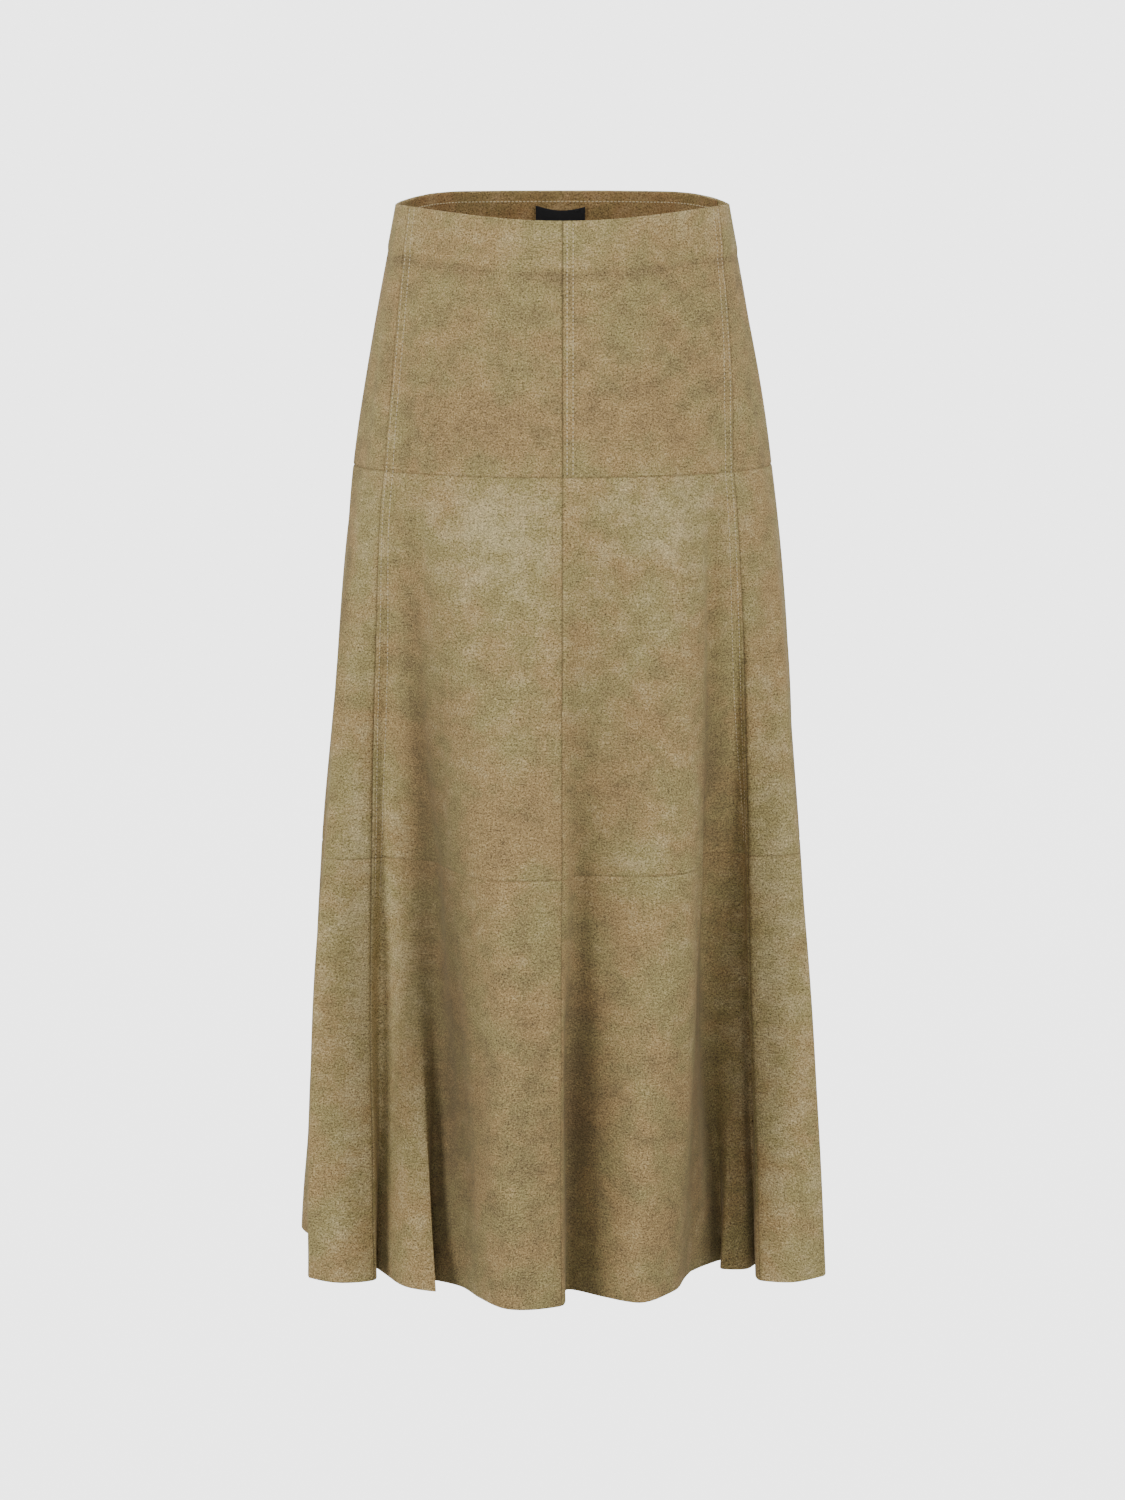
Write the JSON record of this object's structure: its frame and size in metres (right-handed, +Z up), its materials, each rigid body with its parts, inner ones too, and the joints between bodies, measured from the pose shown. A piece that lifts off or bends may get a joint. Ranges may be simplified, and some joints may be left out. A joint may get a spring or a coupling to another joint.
{
  "type": "a-line skirt",
  "caption": "Panelled A-line midi skirt in suede-like cloth, in its worn form and hollow, open at waist and hem, with a faced waist edge and soft deep flutes.",
  "frame": {"origin": "centre of the waist opening, at the height of the waist edge at the two sides", "axes": "+Z up, out of the waist opening; the front faces -Y; the wearer's left is +X"},
  "size_m": [0.4276, 0.3746, 0.8425],
  "materials": {
    "suede": "brushed faux suede with a soft mottled nap, matt",
    "suede_back": "back of faux suede, flat and matt",
    "label_tape": "woven polyester tape, slight sheen",
    "zip_tape": "knitted polyester zip tape",
    "zip_metal": "lacquered die-cast zinc, satin"
  },
  "bodies": {
    "skirt": {"upper_front_centre_left": "suede", "upper_front_side_left": "suede", "upper_back_side_left": "suede", "upper_back_centre_left": "suede", "upper_back_centre_right": "suede", "upper_back_side_right": "suede", "upper_front_side_right": "suede", "upper_front_centre_right": "suede", "middle_front_centre_left": "suede", "middle_front_side_left": "suede", "middle_back_side_left": "suede", "middle_back_centre_left": "suede", "middle_back_centre_right": "suede", "middle_back_side_right": "suede", "middle_front_side_right": "suede", "middle_front_centre_right": "suede", "lower_front_centre_left": "suede", "lower_front_side_left": "suede", "lower_back_side_left": "suede", "lower_back_centre_left": "suede", "lower_back_centre_right": "suede", "lower_back_side_right": "suede", "lower_front_side_right": "suede", "lower_front_centre_right": "suede", "facing_front": "suede_back", "facing_back": "suede_back", "label": "label_tape", "zip_tape": "zip_tape", "zip_slider": "zip_metal"},
    "zip_pull": {"zip_pull": "zip_metal"}
  },
  "joints": [
    {"name": "zip_pull_hinge", "type": "hinge", "parent": "skirt", "child": "zip_pull", "pos_m": [0.12935, 0.01634, -0.00374], "axis": [0.229, -0.9722, 0.048], "range_deg": [0, 150]}
  ]
}
